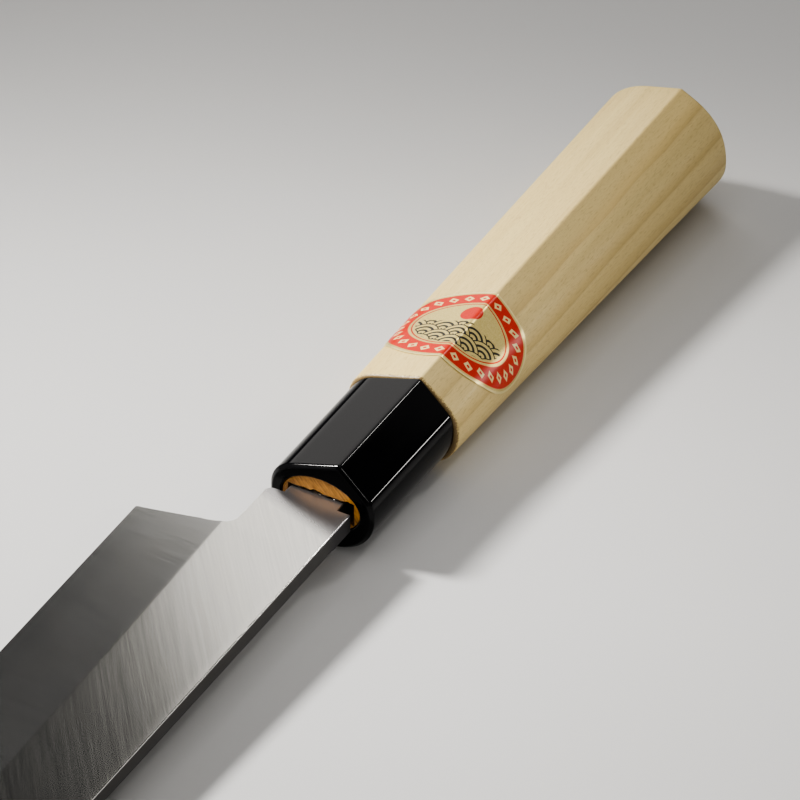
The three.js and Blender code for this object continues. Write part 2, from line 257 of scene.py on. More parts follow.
def line_to_tip(start, fall, tip, s):
    straight_at_tip = start - fall * BLADE_LENGTH / STRAIGHT_EDGE
    return start - fall * s / STRAIGHT_EDGE - (straight_at_tip - tip) * tip_share(s) ** TIP_CURVE


def spine_line(s):
    return SPINE_Y + TIP_DROP * (s / BLADE_LENGTH) ** 2


def edge_line(s):
    return line_to_tip(HEEL_Y, EDGE_DROP, TIP_Y, s)


def ridge_line(s):
    return line_to_tip(HEEL_Y - BEVEL_WIDTH, EDGE_DROP + BEVEL_GAIN, TIP_Y, s)


def flat_line(s):
    return line_to_tip(FLAT_Z, BLADE_TAPER, BACK_Z + TIP_THICKNESS, s)


def weld_line(s):
    return lerp(BACK_Z, flat_line(s), HARD_STEEL / BLADE_THICKNESS)


def bevel_ends(s):
    """Points (y, z) of the ridge line and the edge."""
    return np.array((ridge_line(s), flat_line(s))), np.array((edge_line(s), BACK_Z + EDGE_LAND))


def bevel_point(s, z):
    """Point (y, z) of the bevel at a height."""
    ridge, edge = bevel_ends(s)
    return lerp(ridge, edge, (ridge[1] - z) / (ridge[1] - edge[1]))


def bevel_at(s, y):
    """Point (y, z) of the bevel at a place between ridge line and edge."""
    ridge, edge = bevel_ends(s)
    return lerp(ridge, edge, (y - ridge[0]) / (edge[0] - ridge[0]))


def neck_edge(x):
    """Edge side of the neck at x, with the fillet at the notch and the round at its end."""
    fillet_x = HEEL_X + NOTCH_FILLET
    round_x = NECK_END_X - NECK_ROUND
    if x < fillet_x:
        return NECK_EDGE_Y + NOTCH_FILLET - math.sqrt(max(0, NOTCH_FILLET ** 2 - (x - fillet_x) ** 2))
    if x > round_x:
        return NECK_EDGE_Y - NECK_ROUND + math.sqrt(max(0, NECK_ROUND ** 2 - (x - round_x) ** 2))
    return NECK_EDGE_Y


def tang_sides(x):
    share = (x - NECK_END_X) / (TANG_END_X - NECK_END_X)
    return dict(
        edge=lerp(TANG_EDGE_Y, TANG_MIDDLE_Y + TANG_TIP_WIDTH / 2, share),
        spine=lerp(TANG_SPINE_Y, TANG_MIDDLE_Y - TANG_TIP_WIDTH / 2, share),
        top=lerp(FLAT_Z, MIDDLE_Z + TANG_TIP_THICKNESS / 2, share),
        back=lerp(BACK_Z, MIDDLE_Z - TANG_TIP_THICKNESS / 2, share),
    )


def hollow_height(s, y):
    """Height of the back at a place, with the hollow ground into it."""
    along = 2 * (s - HOLLOW_END_RIM) / (HOLLOW_END - HOLLOW_END_RIM) - 1
    if abs(along) >= 1:
        return BACK_Z
    rim = lerp(HOLLOW_RIM, HOLLOW_END_RIM, along ** 2)
    low = spine_line(s) + rim
    high = edge_line(s) - rim
    across = 2 * (y - low) / (high - low) - 1
    depth = HOLLOW_DEPTH * (1 - abs(along) ** HOLLOW_FADE)
    return BACK_Z + depth * max(0.0, 1 - across ** 2)


# Where the blade's rings stand. The heel's are in eases and the tang's in shares of its length.
HEEL_STATIONS = (1, 1.5, 4)
STRAIGHT_STATIONS = 30
TIP_STATIONS = 48
NOTCH_STATIONS = 12
NECK_STATIONS = 12
NECK_END_STATIONS = 10
TANG_STATIONS = (0, 0.03, 0.1, 0.4, 0.7, 1)


def blade_stations():
    """Distances from the heel, close together behind its eased edge and in the curve of the tip."""
    heel = [HEEL_EASE * eases for eases in HEEL_STATIONS]
    straight = [STRAIGHT_EDGE * i / STRAIGHT_STATIONS for i in range(1, STRAIGHT_STATIONS)]
    tip = BLADE_LENGTH - TIP_BLUNT
    curved = [lerp(STRAIGHT_EDGE, tip, i / TIP_STATIONS) for i in range(TIP_STATIONS + 1)]
    return heel + straight + curved


def neck_stations():
    """Places x from the heel to the end of the neck, close together in its two curves."""
    quarter = math.pi / 2
    fillet_x = HEEL_X + NOTCH_FILLET
    round_x = NECK_END_X - NECK_ROUND
    fillet = [fillet_x - NOTCH_FILLET * math.cos(quarter * i / NOTCH_STATIONS) for i in range(NOTCH_STATIONS)]
    plain = [lerp(fillet_x, round_x, i / NECK_STATIONS) for i in range(NECK_STATIONS)]
    steps = range(NECK_END_STATIONS + 1)
    round_end = [round_x + NECK_ROUND * math.sin(quarter * i / NECK_END_STATIONS) for i in steps]
    return fillet + plain + round_end


# Steps along the sides of a ring of the blade
SPINE_STEPS = 4
CORNER_STEPS = 12
FLAT_STEPS = 10
RIDGE_LINE_STEPS = 6
JOIN_STEPS = 2
BEVEL_STEPS = 10
WELD_STEPS = 4
LAND_STEPS = 2
BACK_STEPS = 30

# Largest shares of a side that a rounded corner and the eased ridge line take, and the bevel's share
# between the ridge line and the point that meets the neck
CORNER_LIMIT = 0.4
RIDGE_LIMIT = 0.2
JOIN_SHARE = 0.2

# Kinds of surface, as places in a piece's list of materials
FLAT_KIND = 0
BEVEL_KIND = 1
EDGE_KIND = 0
BACK_KIND = 1
SIDE_KIND = 2

CLADDING_KINDS = ([SIDE_KIND] * SPINE_STEPS
                  + [FLAT_KIND] * (CORNER_STEPS + FLAT_STEPS + RIDGE_LINE_STEPS // 2)
                  + [BEVEL_KIND] * (RIDGE_LINE_STEPS // 2 + JOIN_STEPS + BEVEL_STEPS)
                  + [SIDE_KIND] * BACK_STEPS)
HARD_STEEL_KINDS = ([SIDE_KIND] * (CORNER_STEPS + SPINE_STEPS + WELD_STEPS)
                    + [EDGE_KIND] * BEVEL_STEPS
                    + [SIDE_KIND] * LAND_STEPS
                    + [BACK_KIND] * BACK_STEPS)


def cladding_ring(x, corners):
    """Ring of the cladding: low spine, top spine (rounded), ridge, side, foot and back to the low spine."""
    low, top, ridge, side, foot = [np.array(corner, float) for corner in corners]
    size = min(SPINE_ROUND, (top[1] - low[1]) * CORNER_LIMIT, (ridge[0] - top[0]) * CORNER_LIMIT)
    below = top - (0, size)
    beside = top + (size, 0)
    slope = np.hypot(*(side - ridge))
    ease = min(RIDGE_EASE, slope * CORNER_LIMIT, (ridge[0] - top[0]) * RIDGE_LIMIT)
    before_ridge = ridge - (ease, 0)
    after_ridge = lerp(ridge, side, ease / slope)
    flat = (
        line_points(low, below, SPINE_STEPS)
        + curve_points((below, top, beside), CORNER_STEPS)
        + line_points(beside, before_ridge, FLAT_STEPS)
        + curve_points((before_ridge, ridge, after_ridge), RIDGE_LINE_STEPS)
        + line_points(after_ridge, side, JOIN_STEPS)
        + line_points(side, foot, BEVEL_STEPS)
        + line_points(foot, low, BACK_STEPS)
    )
    return [(x, y, z) for y, z in flat]


def cladding_rings():
    """Rings of the cladding from the tip over the neck to the end of the tang."""
    join = neck_edge(HEEL_X)
    weld_at_heel = weld_line(0)

    def blade_ring(s, ease=0.0):
        spine = spine_line(s)
        ridge = ridge_line(s)
        top = flat_line(s)
        weld = weld_line(s)
        side = bevel_at(s, min(join, lerp(ridge, edge_line(s), JOIN_SHARE)))
        foot = bevel_point(s, weld) - (0, ease)
        return cladding_ring(HEEL_X - s, ((spine, weld), (spine, top), (ridge, top), side, foot))

    def neck_ring(x, back):
        s = HEEL_X - x
        edge = neck_edge(x)
        ridge = min(ridge_line(s), edge - LEAST_BEVEL)
        top = bevel_at(s, edge)[1] if edge > ridge_line(s) else FLAT_Z
        return cladding_ring(x, (
            (SPINE_Y, back), (SPINE_Y, FLAT_Z), (ridge, FLAT_Z), (edge, top), (edge, back),
        ))

    def tang_ring(x):
        tang = tang_sides(x)
        return cladding_ring(x, (
            (tang["spine"], tang["back"]),
            (tang["spine"], tang["top"]),
            (tang["edge"] - TANG_EASE_WIDTH, tang["top"]),
            (tang["edge"], tang["top"] - TANG_EASE_DROP),
            (tang["edge"], tang["back"]),
        ))

    rings = [blade_ring(s) for s in reversed(blade_stations())]
    rings.append(blade_ring(0, HEEL_EASE))
    over_hard_steel = [x for x in neck_stations() if x < HARD_STEEL_END_X]
    beyond = [x for x in neck_stations() if x > HARD_STEEL_END_X]
    rings += [neck_ring(x, weld_at_heel) for x in over_hard_steel + [HARD_STEEL_END_X]]
    rings += [neck_ring(x, BACK_Z) for x in [HARD_STEEL_END_X] + beyond]
    rings += [tang_ring(lerp(NECK_END_X, TANG_END_X, share)) for share in TANG_STATIONS]
    return rings


def hard_steel_ring(x, corners):
    """Ring of the hard steel: low spine, weld at the spine, weld at the bevel, edge, foot and the back."""
    low, top, weld, edge, foot = [np.array(corner, float) for corner in corners]
    size = min(SPINE_ROUND, (top[1] - low[1]) * CORNER_LIMIT)
    beside = low + (size, 0)
    above = low + (0, size)
    across = np.linspace(foot[0], beside[0], BACK_STEPS + 1)[:-1]
    back = [np.array((y, hollow_height(HEEL_X - x, y))) for y in across]
    flat = (
        curve_points((beside, low, above), CORNER_STEPS)
        + line_points(above, top, SPINE_STEPS)
        + line_points(top, weld, WELD_STEPS)
        + line_points(weld, edge, BEVEL_STEPS)
        + line_points(edge, foot, LAND_STEPS)
        + back
    )
    return [(x, y, z) for y, z in flat]


def hard_steel_rings():
    """Rings of the hard steel from the tip to its end under the neck."""
    weld_at_heel = weld_line(0)

    def blade_ring(s, ease=0.0):
        spine = spine_line(s)
        weld = weld_line(s)
        corner = bevel_point(s, weld) - (0, ease)
        edge = edge_line(s) - ease
        return hard_steel_ring(HEEL_X - s, (
            (spine, BACK_Z), (spine, weld), corner, (edge, BACK_Z + EDGE_LAND), (edge, BACK_Z),
        ))

    def neck_ring(x):
        edge = neck_edge(x)
        return hard_steel_ring(x, (
            (SPINE_Y, BACK_Z), (SPINE_Y, weld_at_heel), (edge, weld_at_heel),
            (edge, BACK_Z + EDGE_LAND), (edge, BACK_Z),
        ))

    rings = [blade_ring(s) for s in reversed(blade_stations())]
    rings.append(blade_ring(0, HEEL_EASE))
    under_neck = [x for x in neck_stations() if x < HARD_STEEL_END_X]
    rings += [neck_ring(x) for x in under_neck + [HARD_STEEL_END_X]]
    return rings


# Handle

# Steps round the handle's section
FACE_STEPS = 12
ROUND_STEPS = 20
BELLY_STEPS = 28
RIDGE_STEPS = 4

# Steps along the handle. The ferrule's stations are shares of its length and the butt's are shares of the
# ring before. Each station of the slot's mouth has a depth, a share of the raggedness and a start.
EASE_STEPS = 6
CHAMFER_STEPS = 8
QUARTER_STEPS = 4
FERRULE_STATIONS = (0.01, 0.25, 0.5, 0.75, 0.99)
SLOT_STATIONS = (60, 20, 6)
MOUTH_STATIONS = ((2.7, 0.4, 0.7), (0.9, 0.7, 0.4), (0.25, 1.0, 0.1), (0.0, 1.7, 0.0))
GRIP_ROUND_STEPS = 8
GRIP_STATIONS = 36
BUTT_ROUND_STEPS = 10
BUTT_STATIONS = (0.6, 0.2)


def handle_section(shape, ridge_round):
    """Closed section (y, z) from the middle of the ridge down the edge side and round."""
    def direction(degrees):
        angle = math.radians(degrees)
        return np.array((math.cos(angle), -math.sin(angle)))

    ridge = np.array((-RIDGE_OFFSET, shape["ridge_height"]))
    to_edge = direction(shape["edge_fall"])
    to_spine = direction(180 - shape["spine_fall"])
    edge_face = (shape["edge_reach"] - ridge[0]) / to_edge[0]
    spine_face = (-shape["spine_reach"] - ridge[0]) / to_spine[0]
    edge_corner = ridge + to_edge * edge_face
    spine_corner = ridge + to_spine * spine_face
    edge_start = ridge + to_edge * (edge_face - shape["edge_round"])
    spine_start = ridge + to_spine * (spine_face - shape["spine_round"])
    edge_side = np.array((shape["edge_reach"], edge_corner[1] - shape["edge_round"]))
    spine_side = np.array((-shape["spine_reach"], min(spine_corner[1] - shape["spine_round"], 0)))
    belly = np.array((0, -shape["belly_depth"]))
    below_edge = edge_side - (0, (edge_side[1] + shape["belly_depth"]) * BELLY_FULLNESS)
    below_spine = spine_side - (0, (spine_side[1] + shape["belly_depth"]) * BELLY_FULLNESS)
    beside_edge = belly + (edge_side[0] * BELLY_FULLNESS, 0)
    beside_spine = belly + (spine_side[0] * BELLY_FULLNESS, 0)
    after_ridge = ridge + to_edge * ridge_round
    before_ridge = ridge + to_spine * ridge_round
    over_ridge = curve_points((before_ridge, ridge, after_ridge), 2 * RIDGE_STEPS)
    return np.array(
        over_ridge[RIDGE_STEPS:]
        + line_points(after_ridge, edge_start, FACE_STEPS)
        + curve_points((edge_start, edge_corner, edge_side), ROUND_STEPS)
        + curve_points((edge_side, below_edge, beside_edge, belly), BELLY_STEPS)
        + curve_points((belly, beside_spine, below_spine, spine_side), BELLY_STEPS)
        + curve_points((spine_side, spine_corner, spine_start), ROUND_STEPS)
        + line_points(spine_start, before_ridge, FACE_STEPS)
        + over_ridge[:RIDGE_STEPS]
    )


def ring_at(section, x, outwards=0.0):
    scale = 1 + outwards / section[:, 0].max()
    return [(x, y * scale, z * scale) for y, z in section]


def oval_ring(section, x, half_width, half_height):
    reach = 1 / np.hypot(section[:, 0] / half_width, section[:, 1] / half_height)
    return [(x, y * r, z * r) for (y, z), r in zip(section, reach)]


FERRULE_SECTION = handle_section(FERRULE_SHAPE, FERRULE_RIDGE)
GRIP_FRONT = handle_section(GRIP_SHAPE, GRIP_RIDGE)
GRIP_BUTT = handle_section(BUTT_SHAPE, GRIP_RIDGE)


def grip_section(x):
    share = (x - GRIP_X) / (HANDLE_LENGTH - GRIP_X)
    return lerp(GRIP_FRONT, GRIP_BUTT, share)


def quarter_round(size, count):
    """Steps (forward, inset) round an outside edge, from its face to its side."""
    turns = [math.pi / 2 * i / count for i in range(count + 1)]
    return [(size * (1 - math.cos(turn)), size * (1 - math.sin(turn))) for turn in turns]


def ferrule_rings():
    """Rings from the front face over the outside and back through the bore. Rings close to the eased edges
    keep the faces beside them flat in the shading."""
    half_width = TENON_HALF_WIDTH + BORE_GAP
    half_height = TENON_HALF_HEIGHT + BORE_GAP
    ease = FERRULE_EASE
    chamfer = FERRULE_CHAMFER
    front = np.array((0, chamfer + ease))
    front_corner = np.array((0, chamfer))
    side_corner = np.array((chamfer, 0))
    side = np.array((chamfer + ease, 0))
    slope = lerp(front_corner, side_corner, ease / chamfer)
    slope_end = lerp(side_corner, front_corner, ease / chamfer)
    profile = (
        [front + (0, ease)]
        + curve_points((front, front_corner, slope), EASE_STEPS)
        + line_points(slope, slope_end, CHAMFER_STEPS)
        + curve_points((slope_end, side_corner, side), EASE_STEPS)
        + [side]
    )
    rings = [ring_at(FERRULE_SECTION, forward, -inset) for forward, inset in profile]
    for share in FERRULE_STATIONS:
        x = lerp(side[0], FERRULE_LENGTH - ease, share)
        rings.append(ring_at(FERRULE_SECTION, x, FERRULE_FLARE * share))
    for forward, inset in reversed(quarter_round(ease, QUARTER_STEPS)):
        rings.append(ring_at(FERRULE_SECTION, FERRULE_LENGTH - forward, FERRULE_FLARE - inset))
    bore = [(FERRULE_LENGTH, 0), (FERRULE_LENGTH / 2, 0)]
    bore += reversed(quarter_round(BORE_BEVEL, QUARTER_STEPS))
    bore.append((0, BORE_BEVEL + ease))
    for x, outwards in bore:
        rings.append(oval_ring(FERRULE_SECTION, x, half_width + outwards, half_height + outwards))
    return rings


def slot_ring(x, ragged=0.0, wave_start=0.0):
    """Ring of the slot round the tang, in the directions of the ferrule section's points."""
    tang = tang_sides(x)
    edge = tang["edge"] + SLOT_CLEARANCE
    spine = SLOT_CLEARANCE + SLOT_SLACK - tang["spine"]
    top = tang["top"] + SLOT_CLEARANCE
    bottom = SLOT_CLEARANCE - tang["back"]
    ring = []
    for y, z in FERRULE_SECTION:
        across = (edge if y > 0 else spine) / max(abs(y), TINY)
        upright = (top if z > 0 else bottom) / max(abs(z), TINY)
        here = np.array((y, z)) * min(across, upright)
        wave = 0
        for pitch, size, share, start in RAGGED_WAVES:
            wave += size * math.sin(here[0] * pitch + wave_start * share + start)
        grow = ragged * max(0.0, RAGGED_LEVEL + RAGGED_SWING * wave)
        here = here * (1 + grow / np.hypot(*here)) + (0, math.copysign(grow, z) * RAGGED_LIFT)
        ring.append((x, *here))
    return ring


def handle_rings():
    """Rings from the end of the slot out to its mouth, over the tenon and along the grip to the butt."""
    rings = [slot_ring(x) for x in (SLOT_END_X, *SLOT_STATIONS)]
    for depth, ragged, wave_start in MOUTH_STATIONS:
        rings.append(slot_ring(TENON_X + depth, SLOT_RAGGED * ragged, wave_start))
    mouth = np.array(rings[-1])
    rim = oval_ring(FERRULE_SECTION, TENON_X, TENON_HALF_WIDTH - TENON_EASE, TENON_HALF_HEIGHT - TENON_EASE)
    rings.append([tuple(point) for point in (mouth + np.array(rim)) / 2])
    rings.append(rim)
    for x in (TENON_X + TENON_EASE, TENON_MIDDLE_X, GRIP_X):
        rings.append(oval_ring(FERRULE_SECTION, x, TENON_HALF_WIDTH, TENON_HALF_HEIGHT))
    for forward, inset in quarter_round(GRIP_ROUND, GRIP_ROUND_STEPS):
        x = GRIP_X + forward
        rings.append(ring_at(grip_section(x), x, -inset))
    start = GRIP_X + GRIP_ROUND
    end = HANDLE_LENGTH - BUTT_ROUND
    for i in range(1, GRIP_STATIONS):
        x = lerp(start, end, i / GRIP_STATIONS)
        rings.append(ring_at(grip_section(x), x))
    for forward, inset in reversed(quarter_round(BUTT_ROUND, BUTT_ROUND_STEPS)):
        x = HANDLE_LENGTH - forward
        rings.append(ring_at(grip_section(x), x, -inset))
    for share in BUTT_STATIONS:
        rings.append([(HANDLE_LENGTH, y * share, z * share) for _, y, z in rings[-1]])
    return rings


# Label

LABEL_ROWS = 120
LABEL_COLUMNS = 40

# Points of the grip's section from belly to belly over the ridge, with their distances round from it
HALF_COUNT = len(GRIP_FRONT) // 2
LABEL_ORDER = [i % len(GRIP_FRONT) for i in range(-HALF_COUNT, HALF_COUNT)]
LABEL_STEPS = np.hypot(*np.diff(grip_section(LABEL_X)[LABEL_ORDER], axis=0).T)
LABEL_TRAVEL = np.concatenate(([0], np.cumsum(LABEL_STEPS))) - LABEL_STEPS[:HALF_COUNT].sum()


def label_places():
    """Rows of (along, round) over the oval, both in millimetres from its middle."""
    rows = []
    for i in range(LABEL_ROWS + 1):
        turn = lerp(LABEL_END_TURN, math.pi - LABEL_END_TURN, i / LABEL_ROWS)
        half = LABEL_LENGTH / 2 * math.sin(turn)
        round_ = LABEL_WRAP / 2 * math.cos(turn)
        rows.append([(lerp(-half, half, j / LABEL_COLUMNS), round_) for j in range(LABEL_COLUMNS + 1)])
    return rows


def grip_point(x, turned, lift):
    """Point on the grip at x, at a distance round from the ridge as measured at the label's middle."""
    points = grip_section(x)[LABEL_ORDER]
    index = np.interp(turned, LABEL_TRAVEL, np.arange(len(points)))
    first = int(index)
    along = points[first + 1] - points[first]
    normal = np.array((along[1], -along[0])) / np.hypot(*along)
    y, z = points[first] + along * (index - first) - normal * lift
    return x, y, z


def make_label(material):
    rows = label_places()
    width = LABEL_COLUMNS + 1
    points, places, faces = [], [], []
    for lift in (LABEL_LIFT + LABEL_THICKNESS, LABEL_LIFT):
        for row in rows:
            for along, round_ in row:
                turned = round_ + LABEL_SHIFT
                points.append(grip_point(LABEL_X - LABEL_LEAN * turned + along, turned, lift))
                places.append((0.5 + along / LABEL_LENGTH, 0.5 + round_ / LABEL_WRAP))
    under = len(rows) * width
    for i in range(LABEL_ROWS):
        for j in range(LABEL_COLUMNS):
            a = i * width + j
            quad = (a, a + 1, a + width + 1, a + width)
            faces.append(quad)
            faces.append(tuple(under + k for k in reversed(quad)))
    border = [i * width for i in range(LABEL_ROWS)]
    border += [LABEL_ROWS * width + j for j in range(LABEL_COLUMNS)]
    border += [i * width + LABEL_COLUMNS for i in range(LABEL_ROWS, 0, -1)]
    border += list(range(LABEL_COLUMNS, 0, -1))
    for a, b in zip(border, border[1:] + border[:1]):
        faces.append((a, b, under + b, under + a))
    return make_piece("label_print", points, faces, [material], smooth_angle=40, places=places)


# Adhesive

BEAD_STEPS = 90
BEAD_SIDES = 14


def adhesive_rings():
    """An uneven bead along the tang's upper face, from its spine side to its edge side."""
    tang = tang_sides(TENON_X)
    base = tang["top"] + BEAD_LIFT
    middle = TENON_X + BEAD_DEPTH
    rings = []
    for i in range(BEAD_STEPS + 1):
        share = i / BEAD_STEPS
        y = lerp(tang["spine"] + BEAD_INSET, tang["edge"] - BEAD_INSET, share)
        wave = math.prod(math.sin(y * pitch + start) for pitch, start in BEAD_WAVES)
        swell = (1 + wave) / 2
        ends = max(BEAD_END_SIZE, min(1, BEAD_END_SLOPE * share, BEAD_END_SLOPE * (1 - share)))
        height = (BEAD_LEAST_HEIGHT + BEAD_SWELL_HEIGHT * swell ** 2) * ends
        reach = (BEAD_LEAST_REACH + BEAD_SWELL_REACH * swell) * ends
        ring = []
        for j in range(BEAD_SIDES):
            turn = 2 * math.pi * j / BEAD_SIDES
            ring.append((middle - reach * math.cos(turn), y, base + height * (1 + math.sin(turn)) / 2))
        rings.append(ring)
    return rings


# Shader nodes

SOCKETS = dict(color="Base Color", roughness="Roughness", metallic="Metallic", normal="Normal",
               specular="Specular IOR Level")


class Shader:
    """Short ways to build one material from nodes."""

    def __init__(self, name):
        self.material = bpy.data.materials.new(name)
        self.material.use_nodes = True
        self.tree = self.material.node_tree
        self.tree.nodes.clear()
        output = self.tree.nodes.new("ShaderNodeOutputMaterial")
        self.surface = self.tree.nodes.new("ShaderNodeBsdfPrincipled")
        self.tree.links.new(self.surface.outputs[0], output.inputs["Surface"])

    def put(self, socket, value):
        if isinstance(value, bpy.types.NodeSocket):
            self.tree.links.new(value, socket)
        else:
            socket.default_value = value

    def set(self, **values):
        for name, value in values.items():
            self.put(self.surface.inputs[SOCKETS[name]], value)

    def place(self):
        """Coordinates in millimetres from the knife's own zero."""
        source = self.tree.nodes.new("ShaderNodeTexCoord")
        mapping = self.tree.nodes.new("ShaderNodeMapping")
        mapping.inputs["Location"].default_value = [-c / MM for c in ORIGIN]
        mapping.inputs["Scale"].default_value = [1 / MM] * 3
        self.tree.links.new(source.outputs["Object"], mapping.inputs["Vector"])
        return mapping.outputs[0]

    def map(self, vector, scale, turn=(0, 0, 0)):
        """Turned about the origin first, then stretched."""
        turned = self.tree.nodes.new("ShaderNodeMapping")
        turned.inputs["Rotation"].default_value = [math.radians(t) for t in turn]
        self.put(turned.inputs["Vector"], vector)
        stretched = self.tree.nodes.new("ShaderNodeMapping")
        stretched.inputs["Scale"].default_value = scale
        self.put(stretched.inputs["Vector"], turned.outputs[0])
        return stretched.outputs[0]

    def noise(self, vector, scale=1.0, detail=3.0, rough=0.6):
        node = self.tree.nodes.new("ShaderNodeTexNoise")
        self.put(node.inputs["Vector"], vector)
        node.inputs["Scale"].default_value = scale
        node.inputs["Detail"].default_value = detail
        node.inputs["Roughness"].default_value = rough
        return node.outputs["Fac"]

    def math(self, operation, *values):
        node = self.tree.nodes.new("ShaderNodeMath")
        node.operation = operation
        for socket, value in zip(node.inputs, values):
            self.put(socket, value)
        return node.outputs[0]

    def total(self, first, *others):
        for other in others:
            first = self.math("ADD", first, other)
        return first

    def minus(self, first, second):
        return self.math("SUBTRACT", first, second)

    def times(self, first, second):
        return self.math("MULTIPLY", first, second)

    def length(self, first, second):
        """Length of the vector with these two components."""
        return self.math("SQRT", self.total(self.times(first, first), self.times(second, second)))

    def range(self, value, spread, result=(0.0, 1.0)):
        """The first result at the spread's first value, the second at its second, and clamped outside."""
        node = self.tree.nodes.new("ShaderNodeMapRange")
        for socket, given in zip(node.inputs, (value, *spread, *result)):
            self.put(socket, given)
        return node.outputs[0]

    def mix(self, share, first, second):
        node = self.tree.nodes.new("ShaderNodeMix")
        node.data_type = "RGBA"
        self.put(node.inputs[0], share)
        self.put(node.inputs[6], (*first, 1) if isinstance(first, tuple) else first)
        self.put(node.inputs[7], (*second, 1) if isinstance(second, tuple) else second)
        return node.outputs[2]

    def layers(self, color, *layers):
        """A colour with others laid over it in order, each given after its share."""
        for share, over in layers:
            color = self.mix(share, color, over)
        return color

    def split(self, vector):
        node = self.tree.nodes.new("ShaderNodeSeparateXYZ")
        self.put(node.inputs[0], vector)
        return node.outputs

    def bump(self, height, strength, distance):
        node = self.tree.nodes.new("ShaderNodeBump")
        node.inputs["Strength"].default_value = strength
        node.inputs["Distance"].default_value = distance * MM
        self.put(node.inputs["Height"], height)
        return node.outputs[0]


def tinted(color, tint):
    return tuple(c * t for c, t in zip(color, tint))


# Materials. A scale is in noise cells per millimetre, and a spread gives the values of a noise
# between which its effect goes from none to full.

EVEN_SPREAD = (0.3, 0.7)
CLEAR_SPREAD = (0.35, 0.65)

# Grinding lines and faint stains of the steel
FINE_LINES = (0.07, 3.6, 0.4)
BROAD_LINES = (0.03, 0.9, 0.15)
FINE_SHARE = 0.75
LINE_SPREAD = (0.32, 0.68)
LINE_TINT = (0.86, 0.86, 0.86)
LINE_DEPTH = 0.02
LINE_ROUGH_SPREAD = (0.25, 0.75)
STAIN_SCALE = 0.09
STAIN_SPREAD = (0.35, 0.75)
STAIN_SHARE = 0.16
STAIN_TINT = (0.93, 0.9, 0.84)

# Painted shade on the end of the neck: a duller, darker band standing in for the ferrule's shadow and dark
# reflection there, further out on the spine side
NECK_SHADE_X = (-7.9, -4.4)
NECK_SHADE_SLANT = 0.3
NECK_SHADE_SHARE = 0.85
NECK_SHADE_TINT = (0.60, 0.59, 0.64)
NECK_SHADE_ROUGHNESS = 0.12
NECK_SHADE_METAL = 0.9


def steel(name, color, roughness, line_turn, line_strength, rough_change):
    """Ground steel with fine straight lines at an angle to the blade, and a band of painted shade on the end
    of the neck.
    """
    shader = Shader(name)
    place = shader.place()
    turn = (0, 0, -line_turn)
    fine = shader.noise(shader.map(place, FINE_LINES, turn))
    broad = shader.noise(shader.map(place, BROAD_LINES, turn))
    lines = shader.total(shader.times(fine, FINE_SHARE), shader.times(broad, 1 - FINE_SHARE))
    tone = shader.mix(shader.range(lines, LINE_SPREAD), tinted(color, LINE_TINT), color)
    cloud = shader.noise(place, STAIN_SCALE, rough=0.55)
    stain = shader.range(cloud, STAIN_SPREAD, (0.0, STAIN_SHARE))
    stained = shader.mix(stain, tone, tinted(color, STAIN_TINT))
    # Painted shade: scale is the strength of the darker, duller band on the end of the neck beside the
    # ferrule
    x, y, _ = shader.split(place)
    slanted = shader.minus(x, shader.times(y, NECK_SHADE_SLANT))
    scale = shader.range(slanted, NECK_SHADE_X)
    rough_ends = (roughness - rough_change, roughness + rough_change)
    line_roughness = shader.range(lines, LINE_ROUGH_SPREAD, rough_ends)
    shader.set(
        color=shader.mix(shader.times(scale, NECK_SHADE_SHARE), stained, tinted(color, NECK_SHADE_TINT)),
        metallic=shader.range(scale, (0.0, 1.0), (1.0, NECK_SHADE_METAL)),
        roughness=shader.total(line_roughness, shader.times(scale, NECK_SHADE_ROUGHNESS)),
        normal=shader.bump(lines, line_strength, LINE_DEPTH),
    )
    return shader.material


# Colours of the wood
WOOD_PALE = (0.78, 0.625, 0.295)
WOOD_TAN = (0.59, 0.425, 0.16)
WOOD_BROWN = (0.40, 0.27, 0.11)
WOOD_FRONT = (0.16, 0.095, 0.035)
CORE_PALE = (0.58, 0.28, 0.055)
CORE_DARK = (0.31, 0.13, 0.02)
CORE_BURNT = (0.06, 0.034, 0.012)
# Painted shade of the core deep in the slot
CORE_SHADE = (0.26, 0.13, 0.04)

# Growth layers of the wood: they lie along the edge-side face, so that they show as lines on the spine side
GROWTH_ACROSS = 0.29
GROWTH_UPRIGHT = 0.957
GROWTH_LEAN = -0.0225
GROWTH_START = 3.3
GROWTH_WIDTH = 6.2
SWAY_SCALE = (0.02, 0.09, 0.09)
SWAY = 2.4
LATE_FADE = 2.5
LATE_SHARE = 0.60
LAYER_LINE_FADE = 14.0
LAYER_LINE_START = 0.93
LAYER_LINE_SHARE = 0.24

# Grain of the wood, from broad streaks to small specks
STREAK_SCALE = (0.007, 0.30, 0.30)
STREAK_SPREAD = (0.38, 0.70)
STREAK_SHARE = 0.35
THREAD_SCALE = (0.06, 2.4, 2.4)
THREAD_SPREAD = (0.45, 0.75)
THREAD_SHARE = 0.16
PORE_SCALE = (0.7, 5.5, 5.5)
PORE_SPREAD = (0.54, 0.72)
PORE_SHARE = 0.42
PORE_DEPTH = -0.6
SPECK_SCALE = 3.4
SPECK_SPREAD = (0.35, 0.7)
SPECK_SHARE = 0.12
SPECK_HEIGHT = 0.4
WOOD_ROUGHNESS = (0.42, 0.56)

# Dark rim where the grip meets the ferrule, and the core that shows in the ferrule's bore, darkened deeper in
# the slot as painted shade
FRONT_WIDTH = 0.3
FRONT_SHARE = 0.85
FRONT_UNEVEN = 0.5
CORE_END_X = (16.0, 15.0)
END_GRAIN_SCALE = (0.3, 2.6, 0.5)
END_GRAIN_TURN = (38, 0, 0)
END_GRAIN_SPREAD = (0.36, 0.66)
CHAR_SCALE = 2.4
CHAR_UNEVEN = 0.5
CHAR_WIDTH = (0.32, 0.08)
# Painted shade: the core darkens between these depths into the slot
SLOT_SHADE_X = (0.45, 3.0)


